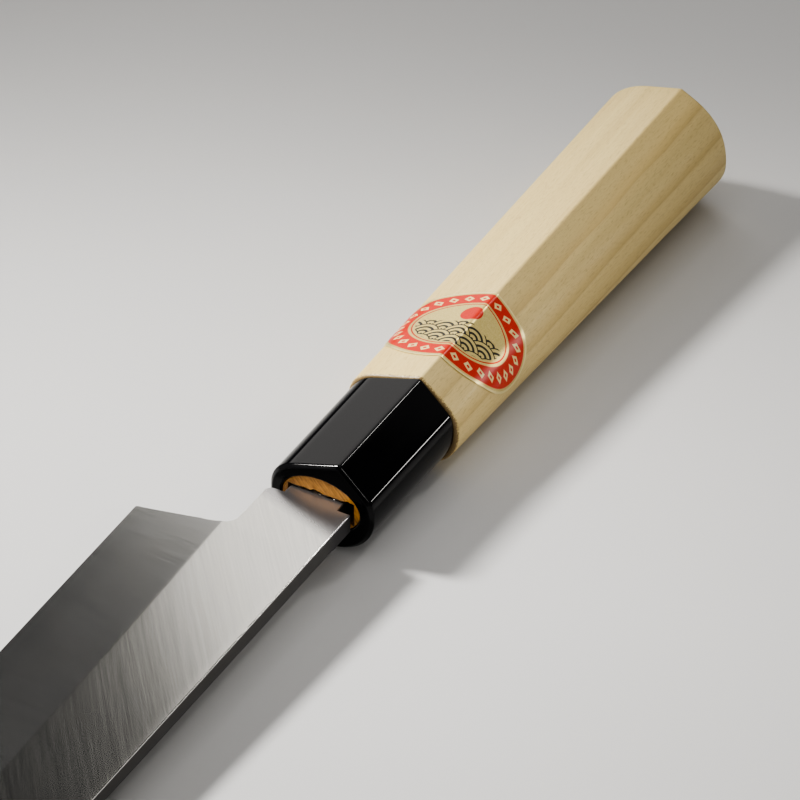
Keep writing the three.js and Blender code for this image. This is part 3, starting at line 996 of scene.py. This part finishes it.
def wood():
    """Pale straight-grained wood, with growth layers and pores, and end grain where the slot is burnt in."""
    shader = Shader("pale_wood")
    place = shader.place()
    x, y, z = shader.split(place)
    sway = shader.noise(shader.map(place, SWAY_SCALE), detail=2.0, rough=0.5)
    depth = shader.total(
        shader.times(y, GROWTH_ACROSS),
        shader.times(z, GROWTH_UPRIGHT),
        shader.times(x, GROWTH_LEAN),
        shader.times(shader.minus(sway, 0.5), SWAY),
    )
    layer = shader.math("DIVIDE", shader.minus(depth, GROWTH_START), GROWTH_WIDTH)
    growth = shader.math("FRACT", layer)
    early = shader.minus(1.0, growth)
    late = shader.math("POWER", early, LATE_FADE)
    before_line = shader.range(growth, (LAYER_LINE_START, 1.0))
    line = shader.math("MAXIMUM", shader.math("POWER", early, LAYER_LINE_FADE), before_line)
    streak = shader.noise(shader.map(place, STREAK_SCALE), rough=0.55)
    thread = shader.noise(shader.map(place, THREAD_SCALE), detail=4.0)
    pores = shader.noise(shader.map(place, PORE_SCALE), detail=2.0, rough=0.5)
    speck = shader.noise(place, SPECK_SCALE)
    from_front = shader.minus(x, shader.range(speck, EVEN_SPREAD, (0.0, FRONT_UNEVEN)))
    front = shader.range(from_front, (GRIP_X + FRONT_WIDTH, GRIP_X), (0.0, FRONT_SHARE))
    in_core = shader.range(x, CORE_END_X)
    end_grain = shader.noise(shader.map(place, END_GRAIN_SCALE, END_GRAIN_TURN))
    core = shader.mix(shader.range(end_grain, END_GRAIN_SPREAD), CORE_PALE, CORE_DARK)
    beside = shader.minus(shader.math("ABSOLUTE", y), TANG_EDGE_Y + SLOT_CLEARANCE)
    from_middle = shader.math("ABSOLUTE", shader.minus(z, MIDDLE_Z))
    above = shader.minus(from_middle, BLADE_THICKNESS / 2 + SLOT_CLEARANCE)
    char = shader.noise(place, CHAR_SCALE)
    uneven = shader.times(shader.minus(char, 0.5), CHAR_UNEVEN)
    from_slot = shader.total(shader.math("MAXIMUM", beside, above), uneven)
    color = shader.layers(
        WOOD_PALE,
        (shader.range(streak, STREAK_SPREAD, (0.0, STREAK_SHARE)), WOOD_TAN),
        (shader.times(late, LATE_SHARE), WOOD_TAN),
        (shader.times(line, LAYER_LINE_SHARE), WOOD_BROWN),
        (shader.range(thread, THREAD_SPREAD, (0.0, THREAD_SHARE)), WOOD_TAN),
        (shader.range(pores, PORE_SPREAD, (0.0, PORE_SHARE)), WOOD_BROWN),
        (shader.range(speck, SPECK_SPREAD, (0.0, SPECK_SHARE)), WOOD_BROWN),
        (front, WOOD_FRONT),
        (in_core, core),
        (shader.times(shader.range(from_slot, CHAR_WIDTH), in_core), CORE_BURNT),
        # painted shade deeper in the slot
        (shader.times(shader.range(x, SLOT_SHADE_X), in_core), CORE_SHADE),
    )
    height = shader.total(shader.times(pores, PORE_DEPTH), shader.times(speck, SPECK_HEIGHT))
    shader.set(
        color=color,
        roughness=shader.range(thread, EVEN_SPREAD, WOOD_ROUGHNESS),
        specular=0.7,
        normal=shader.bump(height, strength=0.25, distance=0.06),
    )
    return shader.material


# Black plastic, with faint haze and scratches and a little dust
PLASTIC_BLACK = (0.0055, 0.0055, 0.0065)
PLASTIC_ROUGHNESS = (0.05, 0.085)
HAZE_SCALE = (0.08, 0.3, 0.3)
SCRATCH_SCALE = (0.06, 6.0, 6.0)
SCRATCH_TURN = (0, 0, 4)
DUST_COLOR = (0.06, 0.06, 0.06)
DUST_SCALE = 5.5
DUST_SPREAD = (0.74, 0.80)
DUST_ROUGHNESS = 0.2


def black_plastic():
    shader = Shader("black_plastic")
    place = shader.place()
    haze = shader.noise(shader.map(place, HAZE_SCALE))
    scratch = shader.noise(shader.map(place, SCRATCH_SCALE, SCRATCH_TURN))
    dust = shader.range(shader.noise(place, DUST_SCALE, detail=2.0, rough=0.5), DUST_SPREAD)
    hazy = shader.range(haze, EVEN_SPREAD, PLASTIC_ROUGHNESS)
    shader.set(
        color=shader.mix(dust, PLASTIC_BLACK, DUST_COLOR),
        roughness=shader.total(hazy, shader.times(dust, DUST_ROUGHNESS)),
        specular=0.2,
        normal=shader.bump(shader.total(scratch, dust), strength=0.06, distance=0.01),
    )
    return shader.material


# Hardened adhesive
ADHESIVE_DARK = (0.10, 0.075, 0.05)
ADHESIVE_PALE = (0.30, 0.27, 0.23)
ADHESIVE_SCALE = 2.2
ADHESIVE_ROUGHNESS = (0.12, 0.3)


def adhesive():
    shader = Shader("adhesive")
    cloud = shader.noise(shader.place(), ADHESIVE_SCALE)
    shader.set(
        color=shader.mix(shader.range(cloud, CLEAR_SPREAD), ADHESIVE_DARK, ADHESIVE_PALE),
        roughness=shader.range(cloud, EVEN_SPREAD, ADHESIVE_ROUGHNESS),
        specular=0.6,
        normal=shader.bump(cloud, strength=0.4, distance=0.1),
    )
    return shader.material


# Print of the label. A reach is a share of the way from its middle to its border, and an ink's two values
# are those between which its edge fades.
GOLD_PALE = (0.72, 0.60, 0.27)
GOLD_DEEP = (0.62, 0.50, 0.20)
RED_BRIGHT = (0.64, 0.034, 0.010)
RED_DEEP = (0.56, 0.024, 0.008)
LOZENGE_GOLD = (0.75, 0.61, 0.29)
WAVE_BLACK = (0.02, 0.016, 0.012)
BORDER_GOLD = (0.80, 0.68, 0.36)
RING_REACH = (0.655, 0.935)
RING_SOFT = 0.006
HAIRLINE_REACH = (0.60, 0.618)
HAIRLINE_SOFT = 0.004
BORDER_REACH = (0.962, 0.972)
LOZENGE_COUNT = 26
LOZENGE_REACH = 0.795
LOZENGE_HALF_WIDTH = 0.34
LOZENGE_HALF_HEIGHT = 0.082
LOZENGE_INK = (1.04, 0.96)
LOZENGE_EYE = (0.42, 0.34)
WAVE_RADIUS = 3.3
WAVE_START = 40.0
WAVE_ARCS = 3.0
ARC_INK = (0.25, 0.31)
SEA_TOP = (0.9, 0.7)
SEA_REACH = (0.575, 0.56)
DISC_PLACE = 3.5
DISC_INK = (2.15, 2.05)
GOLD_METAL = 0.55
FIBRE_SCALE = 4.0
PAPER_ROUGHNESS = (0.30, 0.38)


def label_paper():
    """Red and gold print: a ring of lozenges round waves under a plain disc."""
    shader = Shader("label_paper")
    source = shader.tree.nodes.new("ShaderNodeTexCoord")
    along, round_, _ = shader.split(source.outputs["UV"])
    along = shader.times(shader.minus(along, 0.5), LABEL_LENGTH)
    round_ = shader.times(shader.minus(round_, 0.5), LABEL_WRAP)
    along_share = shader.math("DIVIDE", along, LABEL_LENGTH / 2)
    round_share = shader.math("DIVIDE", round_, LABEL_WRAP / 2)
    reach = shader.length(along_share, round_share)
    turn = shader.math("ARCTAN2", along_share, round_share)

    def band(value, ends, soft):
        low, high = ends
        inside = shader.range(value, (low - soft, low + soft))
        return shader.times(inside, shader.range(value, (high + soft, high - soft)))

    def opposite(value):
        return shader.minus(1.0, value)

    ring = band(reach, RING_REACH, RING_SOFT)
    hairline = band(reach, HAIRLINE_REACH, HAIRLINE_SOFT)
    step = shader.math("FRACT", shader.times(turn, LOZENGE_COUNT / (2 * math.pi)))
    beside = shader.math("ABSOLUTE", shader.minus(step, 0.5))
    outwards = shader.math("ABSOLUTE", shader.minus(reach, LOZENGE_REACH))
    lozenge = shader.total(shader.math("DIVIDE", beside, LOZENGE_HALF_WIDTH),
                           shader.math("DIVIDE", outwards, LOZENGE_HALF_HEIGHT))
    lozenge_ink = shader.times(shader.range(lozenge, LOZENGE_INK),
                              opposite(shader.range(lozenge, LOZENGE_EYE)))

    # Rows of waves, half a radius apart and every second one shifted by a radius
    wave_x = shader.math("DIVIDE", round_, WAVE_RADIUS)
    wave_y = shader.math("DIVIDE", shader.total(along, WAVE_START), WAVE_RADIUS)
    row = shader.math("CEIL", shader.minus(shader.times(wave_y, 2.0), 2.0))
    drop = shader.minus(wave_y, shader.times(row, 0.5))
    odd = shader.math("MODULO", row, 2.0)

    def from_wave(shift, lower):
        moved = shader.minus(wave_x, shader.total(odd, shift))
        sideways = shader.math("WRAP", moved, 1.0, -1.0)
        return shader.length(sideways, shader.minus(drop, lower))

    near = from_wave(0.0, 0.0)
    behind = from_wave(1.0, 0.5)
    covered = shader.math("LESS_THAN", near, 1.0)
    distance = shader.total(shader.times(near, covered), shader.times(behind, opposite(covered)))
    arc = shader.math("FRACT", shader.times(distance, WAVE_ARCS))
    arc_ink = shader.range(shader.math("ABSOLUTE", shader.minus(arc, 0.5)), ARC_INK)
    sea = shader.times(shader.range(along, SEA_TOP), shader.range(reach, SEA_REACH))
    wave_ink = shader.times(arc_ink, sea)
    disc = shader.length(shader.minus(along, DISC_PLACE), round_)
    disc_ink = shader.range(disc, DISC_INK)

    fibre = shader.noise(shader.place(), FIBRE_SCALE)
    fibre_share = shader.range(fibre, CLEAR_SPREAD)
    gold = shader.mix(fibre_share, GOLD_PALE, GOLD_DEEP)
    red = shader.mix(fibre_share, RED_BRIGHT, RED_DEEP)
    color = shader.layers(
        gold,
        (shader.math("MAXIMUM", ring, hairline), red),
        (shader.times(lozenge_ink, ring), LOZENGE_GOLD),
        (wave_ink, WAVE_BLACK),
        (disc_ink, red),
        (shader.range(reach, BORDER_REACH), BORDER_GOLD),
    )
    ink = shader.math("MAXIMUM", shader.math("MAXIMUM", ring, wave_ink), disc_ink)
    shader.set(
        color=color,
        metallic=shader.range(ink, (0.0, 1.0), (GOLD_METAL, 0.0)),
        roughness=shader.range(fibre, EVEN_SPREAD, PAPER_ROUGHNESS),
        specular=0.5,
        normal=shader.bump(fibre, strength=0.05, distance=0.03),
    )
    return shader.material


# Pale floor
FLOOR_DARK = (0.60, 0.60, 0.60)
FLOOR_PALE = (0.64, 0.64, 0.64)
FLOOR_CLOUD_SCALE = 0.006
FLOOR_TOOTH_SCALE = 1.4


def floor_material():
    shader = Shader("floor_paper")
    place = shader.place()
    tooth = shader.noise(place, FLOOR_TOOTH_SCALE, detail=4.0)
    cloud = shader.noise(place, FLOOR_CLOUD_SCALE, detail=2.0, rough=0.5)
    shader.set(
        color=shader.mix(shader.range(cloud, EVEN_SPREAD), FLOOR_DARK, FLOOR_PALE),
        roughness=0.85,
        specular=0.2,
        normal=shader.bump(tooth, strength=0.08, distance=0.1),
    )
    return shader.material


# Knife

flat_steel = steel("steel_flat", (0.705, 0.695, 0.665), roughness=0.20,
                   line_turn=40, line_strength=0.02, rough_change=0.02)
bevel_steel = steel("steel_bevel", (0.72, 0.715, 0.70), roughness=0.23,
                    line_turn=78, line_strength=0.008, rough_change=0.012)
# Painted shade: rough ground steel whose colour is darkened to stand in for the dark reflection on the spine;
# the spine, heel, ends and tang use it
shaded_side_steel = steel("steel_sides_shaded", (0.15, 0.147, 0.143), roughness=0.42,
                   line_turn=90, line_strength=0.08, rough_change=0.05)
edge_steel = steel("steel_edge", (0.75, 0.745, 0.73), roughness=0.22,
                   line_turn=78, line_strength=0.008, rough_change=0.012)
back_steel = steel("steel_back", (0.68, 0.675, 0.66), roughness=0.24,
                   line_turn=88, line_strength=0.06, rough_change=0.03)

BLADE_SMOOTH_ANGLE = 9


def with_ends(kinds, rings):
    """Kinds of all the faces of a skin through rings, with its two ends."""
    return kinds * (len(rings) - 1) + [SIDE_KIND] * 2


rings = cladding_rings()
cladding = make_piece("blade_cladding", *skin(rings), [flat_steel, bevel_steel, shaded_side_steel],
                      BLADE_SMOOTH_ANGLE, kinds=with_ends(CLADDING_KINDS, rings))
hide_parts("blade")

rings = hard_steel_rings()
hard_steel = make_piece("blade_edge_steel", *skin(rings), [edge_steel, back_steel, shaded_side_steel],
                        BLADE_SMOOTH_ANGLE, kinds=with_ends(HARD_STEEL_KINDS, rings))
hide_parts("edge_steel")

handle = make_piece("handle_wood", *skin(handle_rings()), [wood()], smooth_angle=35)
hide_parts("handle")

ferrule_skin = skin(ferrule_rings(), closed=True)
ferrule = make_piece("ferrule_shell", *ferrule_skin, [black_plastic()], smooth_angle=25)
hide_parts("ferrule")

bead = make_piece("adhesive_bead", *skin(adhesive_rings()), [adhesive()], smooth_angle=60)
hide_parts("tang_adhesive")

label = make_label(label_paper())
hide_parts("label")

# Floor, which touches the tip and the ferrule's front

FLOOR_SIZE = 3.0
tip_x = ORIGIN.x + (HEEL_X - BLADE_LENGTH) * MM
tip_z = ORIGIN.z + BACK_Z * MM
belly_x = ORIGIN.x + FERRULE_CHAMFER * MM
belly_z = ORIGIN.z - FERRULE_SHAPE["belly_depth"] * MM
pitch = (belly_z - tip_z) / (belly_x - tip_x)
floor_points = []
for x, y in ((-1, -1), (1, -1), (1, 1), (-1, 1)):
    floor_points.append((x * FLOOR_SIZE, y * FLOOR_SIZE, tip_z + pitch * (x * FLOOR_SIZE - tip_x)))
floor_mesh = bpy.data.meshes.new("floor")
floor_mesh.from_pydata(floor_points, [], [(0, 1, 2, 3)])
floor_mesh.materials.append(floor_material())
floor = add_object("floor", floor_mesh)

# Light, in metres, degrees and watts

LIGHT_COLOR = (1.0, 0.975, 0.94)
WORLD_COLOR = (0.95, 0.97, 1.0, 1)
WORLD_STRENGTH = 0.04
LIT_PLACE = (0.050, -0.005, 0.015)
FERRULE_PLACE = (0.090, -0.006, 0.021)


def add_light(data, place, target, roll=0):
    data.color = LIGHT_COLOR
    light = add_object(data.name, data)
    light.visible_camera = False
    light.location = place
    light.rotation_mode = "QUATERNION"
    aim = (Vector(target) - Vector(place)).to_track_quat("-Z", "Y")
    light.rotation_quaternion = aim @ Quaternion((0, 0, 1), math.radians(roll))


def panel_light(name, place, target, size, power, roll=0):
    data = bpy.data.lights.new(name, "AREA")
    data.shape = "RECTANGLE"
    data.size, data.size_y = size
    data.energy = power
    add_light(data, place, target, roll)


def spot_light(name, place, target, radius, cone, power):
    """A round soft light whose cone fades evenly to its border."""
    data = bpy.data.lights.new(name, "SPOT")
    data.energy = power
    data.shadow_soft_size = radius
    data.spot_size = math.radians(cone)
    data.spot_blend = 1.0
    add_light(data, place, target)


spot_light("key", (-0.066, 0.64, 0.56), LIT_PLACE, radius=0.07, cone=29, power=43)

# Small lights that show as lines on the ferrule's edges
spot_light("ridge_glint", (0.633, -0.230, 0.558), FERRULE_PLACE, radius=0.045, cone=12, power=3.5)
spot_light("shoulder_glint", (0.632, -0.563, 0.203), FERRULE_PLACE, radius=0.045, cone=12, power=2.5)
spot_light("front_glint", (-0.265, -0.68, 0.519), FERRULE_PLACE, radius=0.05, cone=12, power=2.5)

# The panel that the blade reflects, a soft light from above, and dim walls for the reflections in other views
panel_light("softbox", (0.4186, 0.2056, 0.2088), (0.0946, 0.0556, -0.0572),
            size=(0.20, 0.45), power=0.35, roll=30.7)
panel_light("overhead", (-0.3, -0.3, 1.8), (-0.3, -0.3, 0.0), size=(2.0, 2.0), power=10)
panel_light("wall_back", (-0.5, 1.3, 0.6), (-0.5, 0.0, 0.6), size=(1.6, 1.2), power=2.4)
panel_light("wall_left", (-1.4, 0.0, 0.6), (0.0, 0.0, 0.6), size=(2.4, 1.2), power=3.6)
panel_light("wall_front", (0.0, -1.3, 0.6), (0.0, 0.0, 0.6), size=(2.4, 1.2), power=2.2)
panel_light("wall_right", (1.4, -0.6, 0.6), (0.0, -0.6, 0.6), size=(1.2, 1.2), power=1.5)

world = bpy.data.worlds.new("studio")
world.use_nodes = True
world.node_tree.nodes["Background"].inputs["Color"].default_value = WORLD_COLOR
world.node_tree.nodes["Background"].inputs["Strength"].default_value = WORLD_STRENGTH
bpy.context.scene.world = world

# Camera

camera_data = bpy.data.cameras.new("camera")
camera_data.sensor_width = SENSOR
camera_data.lens = FOCAL_PIXELS / PICTURE * SENSOR
camera_data.clip_start = CAMERA_CLIP
camera = add_object("camera", camera_data)
azimuth = math.radians(CAMERA_AZIMUTH)
elevation = math.radians(CAMERA_ELEVATION)
right = Vector((math.cos(azimuth), math.sin(azimuth), 0))
level_back = Vector((math.sin(azimuth), -math.cos(azimuth), 0))
back = level_back * math.cos(elevation) + Vector((0, 0, math.sin(elevation)))
up = back.cross(right)
camera.matrix_world = Matrix.Translation(CAMERA_PLACE) @ Matrix((right, up, back)).transposed().to_4x4()
bpy.context.scene.camera = camera
bpy.context.scene.view_settings.view_transform = "AgX"
bpy.context.scene.view_settings.look = "AgX - High Contrast"
